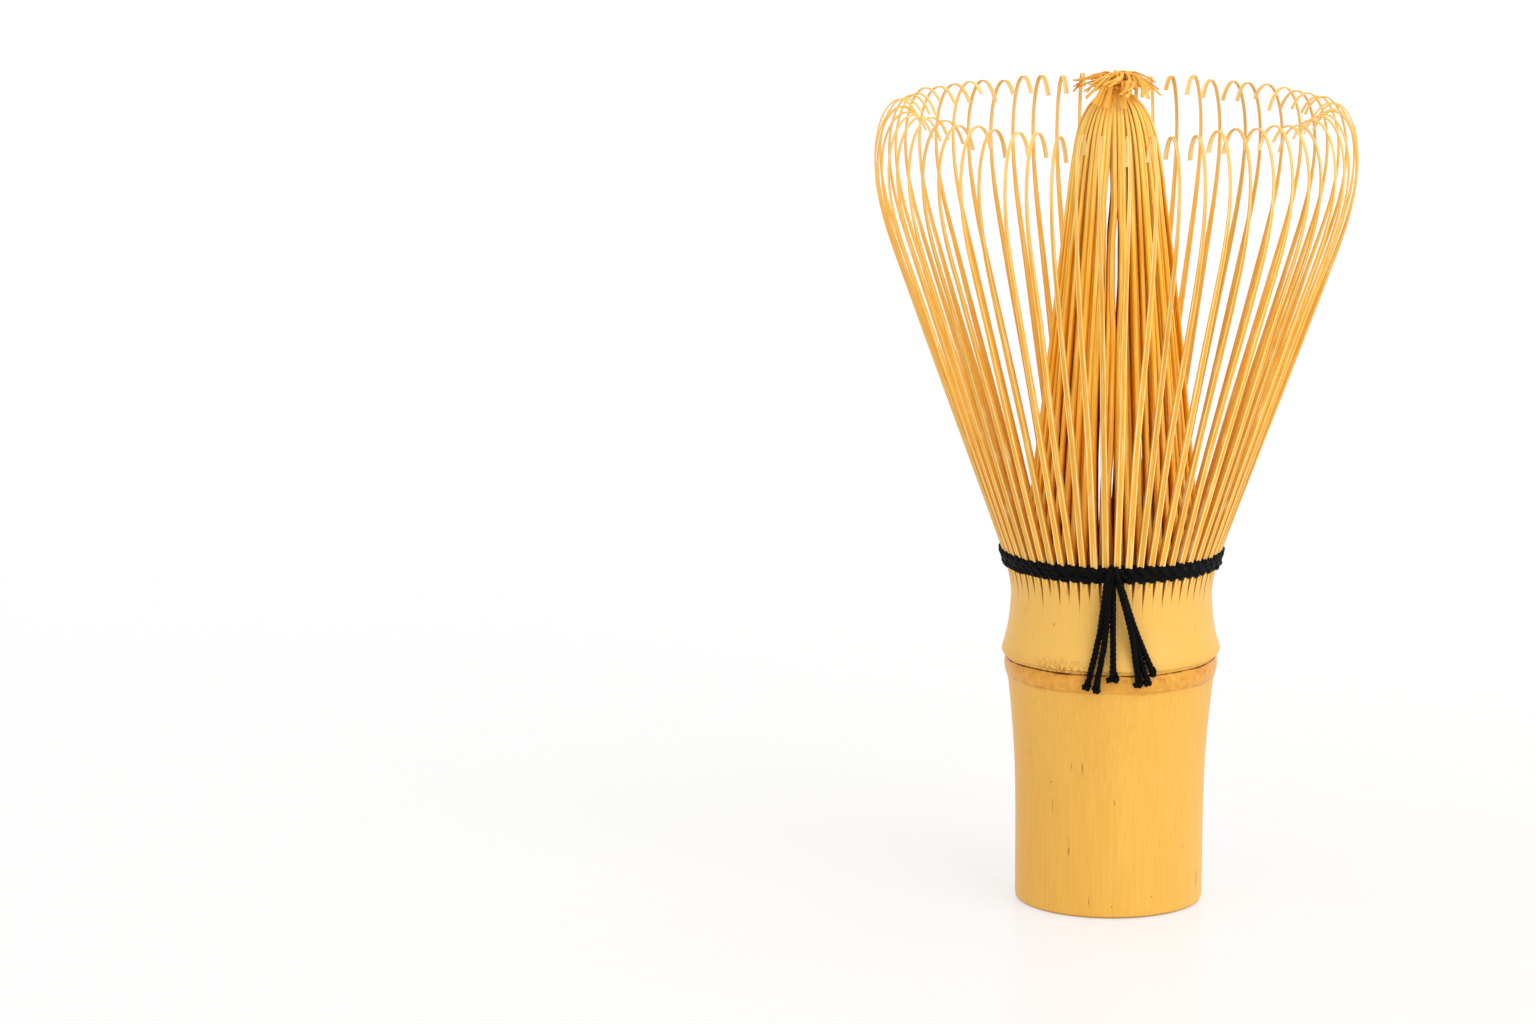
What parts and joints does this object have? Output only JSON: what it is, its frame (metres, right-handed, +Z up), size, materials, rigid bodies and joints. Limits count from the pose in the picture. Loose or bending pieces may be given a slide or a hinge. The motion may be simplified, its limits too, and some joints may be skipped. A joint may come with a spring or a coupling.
{
  "type": "bamboo tea whisk",
  "caption": "Bamboo tea whisk: a hollow culm handle split into flaring hooked outer tines and a leaning inner bundle, laced with black thread.",
  "frame": {"origin": "centre of the flat underside of the handle", "axes": "+Z up along the handle towards the tines, -Y towards the knot and the thread ends, +X to the right seen from the knot"},
  "size_m": [0.0632, 0.0632, 0.1115],
  "materials": {
    "bamboo_culm": "satin",
    "bamboo_outer_tines": "satin",
    "bamboo_inner_tines": "satin",
    "black_thread": "twisted thread"
  },
  "bodies": {
    "root": {"culm_handle": "bamboo_culm", "lacing_outside": "black_thread", "lacing_inside": "black_thread", "lacing_knot": "black_thread", "thread_tail_1": "black_thread", "thread_tail_2": "black_thread", "thread_tail_3": "black_thread", "thread_tail_4": "black_thread", "thread_tail_5": "black_thread", "thread_tail_6": "black_thread"},
    "inner_tine_group_01": {"inner_tine_group_01": "bamboo_inner_tines"},
    "inner_tine_group_02": {"inner_tine_group_02": "bamboo_inner_tines"},
    "inner_tine_group_03": {"inner_tine_group_03": "bamboo_inner_tines"},
    "inner_tine_group_04": {"inner_tine_group_04": "bamboo_inner_tines"},
    "inner_tine_group_05": {"inner_tine_group_05": "bamboo_inner_tines"},
    "inner_tine_group_06": {"inner_tine_group_06": "bamboo_inner_tines"},
    "inner_tine_group_07": {"inner_tine_group_07": "bamboo_inner_tines"},
    "inner_tine_group_08": {"inner_tine_group_08": "bamboo_inner_tines"},
    "inner_tine_group_09": {"inner_tine_group_09": "bamboo_inner_tines"},
    "inner_tine_group_10": {"inner_tine_group_10": "bamboo_inner_tines"},
    "inner_tine_group_11": {"inner_tine_group_11": "bamboo_inner_tines"},
    "inner_tine_group_12": {"inner_tine_group_12": "bamboo_inner_tines"},
    "outer_tine_pair_01": {"outer_tine_pair_01": "bamboo_outer_tines"},
    "outer_tine_pair_02": {"outer_tine_pair_02": "bamboo_outer_tines"},
    "outer_tine_pair_03": {"outer_tine_pair_03": "bamboo_outer_tines"},
    "outer_tine_pair_04": {"outer_tine_pair_04": "bamboo_outer_tines"},
    "outer_tine_pair_05": {"outer_tine_pair_05": "bamboo_outer_tines"},
    "outer_tine_pair_06": {"outer_tine_pair_06": "bamboo_outer_tines"},
    "outer_tine_pair_07": {"outer_tine_pair_07": "bamboo_outer_tines"},
    "outer_tine_pair_08": {"outer_tine_pair_08": "bamboo_outer_tines"},
    "outer_tine_pair_09": {"outer_tine_pair_09": "bamboo_outer_tines"},
    "outer_tine_pair_10": {"outer_tine_pair_10": "bamboo_outer_tines"},
    "outer_tine_pair_11": {"outer_tine_pair_11": "bamboo_outer_tines"},
    "outer_tine_pair_12": {"outer_tine_pair_12": "bamboo_outer_tines"},
    "outer_tine_pair_13": {"outer_tine_pair_13": "bamboo_outer_tines"},
    "outer_tine_pair_14": {"outer_tine_pair_14": "bamboo_outer_tines"},
    "outer_tine_pair_15": {"outer_tine_pair_15": "bamboo_outer_tines"},
    "outer_tine_pair_16": {"outer_tine_pair_16": "bamboo_outer_tines"},
    "outer_tine_pair_17": {"outer_tine_pair_17": "bamboo_outer_tines"},
    "outer_tine_pair_18": {"outer_tine_pair_18": "bamboo_outer_tines"},
    "outer_tine_pair_19": {"outer_tine_pair_19": "bamboo_outer_tines"},
    "outer_tine_pair_20": {"outer_tine_pair_20": "bamboo_outer_tines"},
    "outer_tine_pair_21": {"outer_tine_pair_21": "bamboo_outer_tines"},
    "outer_tine_pair_22": {"outer_tine_pair_22": "bamboo_outer_tines"},
    "outer_tine_pair_23": {"outer_tine_pair_23": "bamboo_outer_tines"},
    "outer_tine_pair_24": {"outer_tine_pair_24": "bamboo_outer_tines"},
    "outer_tine_pair_25": {"outer_tine_pair_25": "bamboo_outer_tines"},
    "outer_tine_pair_26": {"outer_tine_pair_26": "bamboo_outer_tines"},
    "outer_tine_pair_27": {"outer_tine_pair_27": "bamboo_outer_tines"},
    "outer_tine_pair_28": {"outer_tine_pair_28": "bamboo_outer_tines"},
    "outer_tine_pair_29": {"outer_tine_pair_29": "bamboo_outer_tines"},
    "outer_tine_pair_30": {"outer_tine_pair_30": "bamboo_outer_tines"}
  },
  "joints": [
    {"name": "inner_tine_flex_01", "type": "hinge", "parent": "root", "child": "inner_tine_group_01", "pos_m": [0.01139, 0, 0.04695], "axis": [0, 1, 0], "range_deg": [0, 4], "stiffness_Nm_per_rad": 0.02},
    {"name": "inner_tine_flex_02", "type": "hinge", "parent": "root", "child": "inner_tine_group_02", "pos_m": [0.00986, 0.00569, 0.04695], "axis": [-0.5, 0.866, 0], "range_deg": [0, 4], "stiffness_Nm_per_rad": 0.02},
    {"name": "inner_tine_flex_03", "type": "hinge", "parent": "root", "child": "inner_tine_group_03", "pos_m": [0.00569, 0.00986, 0.04695], "axis": [-0.866, 0.5, 0], "range_deg": [0, 4], "stiffness_Nm_per_rad": 0.02},
    {"name": "inner_tine_flex_04", "type": "hinge", "parent": "root", "child": "inner_tine_group_04", "pos_m": [0, 0.01139, 0.04695], "axis": [-1, 0, 0], "range_deg": [0, 4], "stiffness_Nm_per_rad": 0.02},
    {"name": "inner_tine_flex_05", "type": "hinge", "parent": "root", "child": "inner_tine_group_05", "pos_m": [-0.00569, 0.00986, 0.04695], "axis": [-0.866, -0.5, 0], "range_deg": [0, 4], "stiffness_Nm_per_rad": 0.02},
    {"name": "inner_tine_flex_06", "type": "hinge", "parent": "root", "child": "inner_tine_group_06", "pos_m": [-0.00986, 0.00569, 0.04695], "axis": [-0.5, -0.866, 0], "range_deg": [0, 4], "stiffness_Nm_per_rad": 0.02},
    {"name": "inner_tine_flex_07", "type": "hinge", "parent": "root", "child": "inner_tine_group_07", "pos_m": [-0.01139, 0, 0.04695], "axis": [0, -1, 0], "range_deg": [0, 4], "stiffness_Nm_per_rad": 0.02},
    {"name": "inner_tine_flex_08", "type": "hinge", "parent": "root", "child": "inner_tine_group_08", "pos_m": [-0.00986, -0.00569, 0.04695], "axis": [0.5, -0.866, 0], "range_deg": [0, 4], "stiffness_Nm_per_rad": 0.02},
    {"name": "inner_tine_flex_09", "type": "hinge", "parent": "root", "child": "inner_tine_group_09", "pos_m": [-0.00569, -0.00986, 0.04695], "axis": [0.866, -0.5, 0], "range_deg": [0, 4], "stiffness_Nm_per_rad": 0.02},
    {"name": "inner_tine_flex_10", "type": "hinge", "parent": "root", "child": "inner_tine_group_10", "pos_m": [0, -0.01139, 0.04695], "axis": [1, 0, 0], "range_deg": [0, 4], "stiffness_Nm_per_rad": 0.02},
    {"name": "inner_tine_flex_11", "type": "hinge", "parent": "root", "child": "inner_tine_group_11", "pos_m": [0.00569, -0.00986, 0.04695], "axis": [0.866, 0.5, 0], "range_deg": [0, 4], "stiffness_Nm_per_rad": 0.02},
    {"name": "inner_tine_flex_12", "type": "hinge", "parent": "root", "child": "inner_tine_group_12", "pos_m": [0.00986, -0.00569, 0.04695], "axis": [0.5, 0.866, 0], "range_deg": [0, 4], "stiffness_Nm_per_rad": 0.02},
    {"name": "outer_tine_flex_01", "type": "hinge", "parent": "root", "child": "outer_tine_pair_01", "pos_m": [0.01393, 0, 0.04695], "axis": [0, 1, 0], "range_deg": [-6, 6], "stiffness_Nm_per_rad": 0.013},
    {"name": "outer_tine_flex_02", "type": "hinge", "parent": "root", "child": "outer_tine_pair_02", "pos_m": [0.01362, 0.0029, 0.04695], "axis": [-0.2079, 0.9781, 0], "range_deg": [-6, 6], "stiffness_Nm_per_rad": 0.013},
    {"name": "outer_tine_flex_03", "type": "hinge", "parent": "root", "child": "outer_tine_pair_03", "pos_m": [0.01272, 0.00566, 0.04695], "axis": [-0.4067, 0.9135, 0], "range_deg": [-6, 6], "stiffness_Nm_per_rad": 0.013},
    {"name": "outer_tine_flex_04", "type": "hinge", "parent": "root", "child": "outer_tine_pair_04", "pos_m": [0.01127, 0.00819, 0.04695], "axis": [-0.5878, 0.809, 0], "range_deg": [-6, 6], "stiffness_Nm_per_rad": 0.013},
    {"name": "outer_tine_flex_05", "type": "hinge", "parent": "root", "child": "outer_tine_pair_05", "pos_m": [0.00932, 0.01035, 0.04695], "axis": [-0.7431, 0.6691, 0], "range_deg": [-6, 6], "stiffness_Nm_per_rad": 0.013},
    {"name": "outer_tine_flex_06", "type": "hinge", "parent": "root", "child": "outer_tine_pair_06", "pos_m": [0.00696, 0.01206, 0.04695], "axis": [-0.866, 0.5, 0], "range_deg": [-6, 6], "stiffness_Nm_per_rad": 0.013},
    {"name": "outer_tine_flex_07", "type": "hinge", "parent": "root", "child": "outer_tine_pair_07", "pos_m": [0.0043, 0.01325, 0.04695], "axis": [-0.9511, 0.309, 0], "range_deg": [-6, 6], "stiffness_Nm_per_rad": 0.013},
    {"name": "outer_tine_flex_08", "type": "hinge", "parent": "root", "child": "outer_tine_pair_08", "pos_m": [0.00146, 0.01385, 0.04695], "axis": [-0.9945, 0.1045, 0], "range_deg": [-6, 6], "stiffness_Nm_per_rad": 0.013},
    {"name": "outer_tine_flex_09", "type": "hinge", "parent": "root", "child": "outer_tine_pair_09", "pos_m": [-0.00146, 0.01385, 0.04695], "axis": [-0.9945, -0.1045, 0], "range_deg": [-6, 6], "stiffness_Nm_per_rad": 0.013},
    {"name": "outer_tine_flex_10", "type": "hinge", "parent": "root", "child": "outer_tine_pair_10", "pos_m": [-0.0043, 0.01325, 0.04695], "axis": [-0.9511, -0.309, 0], "range_deg": [-6, 6], "stiffness_Nm_per_rad": 0.013},
    {"name": "outer_tine_flex_11", "type": "hinge", "parent": "root", "child": "outer_tine_pair_11", "pos_m": [-0.00696, 0.01206, 0.04695], "axis": [-0.866, -0.5, 0], "range_deg": [-6, 6], "stiffness_Nm_per_rad": 0.013},
    {"name": "outer_tine_flex_12", "type": "hinge", "parent": "root", "child": "outer_tine_pair_12", "pos_m": [-0.00932, 0.01035, 0.04695], "axis": [-0.7431, -0.6691, 0], "range_deg": [-6, 6], "stiffness_Nm_per_rad": 0.013},
    {"name": "outer_tine_flex_13", "type": "hinge", "parent": "root", "child": "outer_tine_pair_13", "pos_m": [-0.01127, 0.00819, 0.04695], "axis": [-0.5878, -0.809, 0], "range_deg": [-6, 6], "stiffness_Nm_per_rad": 0.013},
    {"name": "outer_tine_flex_14", "type": "hinge", "parent": "root", "child": "outer_tine_pair_14", "pos_m": [-0.01272, 0.00566, 0.04695], "axis": [-0.4067, -0.9135, 0], "range_deg": [-6, 6], "stiffness_Nm_per_rad": 0.013},
    {"name": "outer_tine_flex_15", "type": "hinge", "parent": "root", "child": "outer_tine_pair_15", "pos_m": [-0.01362, 0.0029, 0.04695], "axis": [-0.2079, -0.9781, 0], "range_deg": [-6, 6], "stiffness_Nm_per_rad": 0.013},
    {"name": "outer_tine_flex_16", "type": "hinge", "parent": "root", "child": "outer_tine_pair_16", "pos_m": [-0.01393, 0, 0.04695], "axis": [0, -1, 0], "range_deg": [-6, 6], "stiffness_Nm_per_rad": 0.013},
    {"name": "outer_tine_flex_17", "type": "hinge", "parent": "root", "child": "outer_tine_pair_17", "pos_m": [-0.01362, -0.0029, 0.04695], "axis": [0.2079, -0.9781, 0], "range_deg": [-6, 6], "stiffness_Nm_per_rad": 0.013},
    {"name": "outer_tine_flex_18", "type": "hinge", "parent": "root", "child": "outer_tine_pair_18", "pos_m": [-0.01272, -0.00566, 0.04695], "axis": [0.4067, -0.9135, 0], "range_deg": [-6, 6], "stiffness_Nm_per_rad": 0.013},
    {"name": "outer_tine_flex_19", "type": "hinge", "parent": "root", "child": "outer_tine_pair_19", "pos_m": [-0.01127, -0.00819, 0.04695], "axis": [0.5878, -0.809, 0], "range_deg": [-6, 6], "stiffness_Nm_per_rad": 0.013},
    {"name": "outer_tine_flex_20", "type": "hinge", "parent": "root", "child": "outer_tine_pair_20", "pos_m": [-0.00932, -0.01035, 0.04695], "axis": [0.7431, -0.6691, 0], "range_deg": [-6, 6], "stiffness_Nm_per_rad": 0.013},
    {"name": "outer_tine_flex_21", "type": "hinge", "parent": "root", "child": "outer_tine_pair_21", "pos_m": [-0.00696, -0.01206, 0.04695], "axis": [0.866, -0.5, 0], "range_deg": [-6, 6], "stiffness_Nm_per_rad": 0.013},
    {"name": "outer_tine_flex_22", "type": "hinge", "parent": "root", "child": "outer_tine_pair_22", "pos_m": [-0.0043, -0.01325, 0.04695], "axis": [0.9511, -0.309, 0], "range_deg": [-6, 6], "stiffness_Nm_per_rad": 0.013},
    {"name": "outer_tine_flex_23", "type": "hinge", "parent": "root", "child": "outer_tine_pair_23", "pos_m": [-0.00146, -0.01385, 0.04695], "axis": [0.9945, -0.1045, 0], "range_deg": [-6, 6], "stiffness_Nm_per_rad": 0.013},
    {"name": "outer_tine_flex_24", "type": "hinge", "parent": "root", "child": "outer_tine_pair_24", "pos_m": [0.00146, -0.01385, 0.04695], "axis": [0.9945, 0.1045, 0], "range_deg": [-6, 6], "stiffness_Nm_per_rad": 0.013},
    {"name": "outer_tine_flex_25", "type": "hinge", "parent": "root", "child": "outer_tine_pair_25", "pos_m": [0.0043, -0.01325, 0.04695], "axis": [0.9511, 0.309, 0], "range_deg": [-6, 6], "stiffness_Nm_per_rad": 0.013},
    {"name": "outer_tine_flex_26", "type": "hinge", "parent": "root", "child": "outer_tine_pair_26", "pos_m": [0.00696, -0.01206, 0.04695], "axis": [0.866, 0.5, 0], "range_deg": [-6, 6], "stiffness_Nm_per_rad": 0.013},
    {"name": "outer_tine_flex_27", "type": "hinge", "parent": "root", "child": "outer_tine_pair_27", "pos_m": [0.00932, -0.01035, 0.04695], "axis": [0.7431, 0.6691, 0], "range_deg": [-6, 6], "stiffness_Nm_per_rad": 0.013},
    {"name": "outer_tine_flex_28", "type": "hinge", "parent": "root", "child": "outer_tine_pair_28", "pos_m": [0.01127, -0.00819, 0.04695], "axis": [0.5878, 0.809, 0], "range_deg": [-6, 6], "stiffness_Nm_per_rad": 0.013},
    {"name": "outer_tine_flex_29", "type": "hinge", "parent": "root", "child": "outer_tine_pair_29", "pos_m": [0.01272, -0.00566, 0.04695], "axis": [0.4067, 0.9135, 0], "range_deg": [-6, 6], "stiffness_Nm_per_rad": 0.013},
    {"name": "outer_tine_flex_30", "type": "hinge", "parent": "root", "child": "outer_tine_pair_30", "pos_m": [0.01362, -0.0029, 0.04695], "axis": [0.2079, 0.9781, 0], "range_deg": [-6, 6], "stiffness_Nm_per_rad": 0.013}
  ]
}
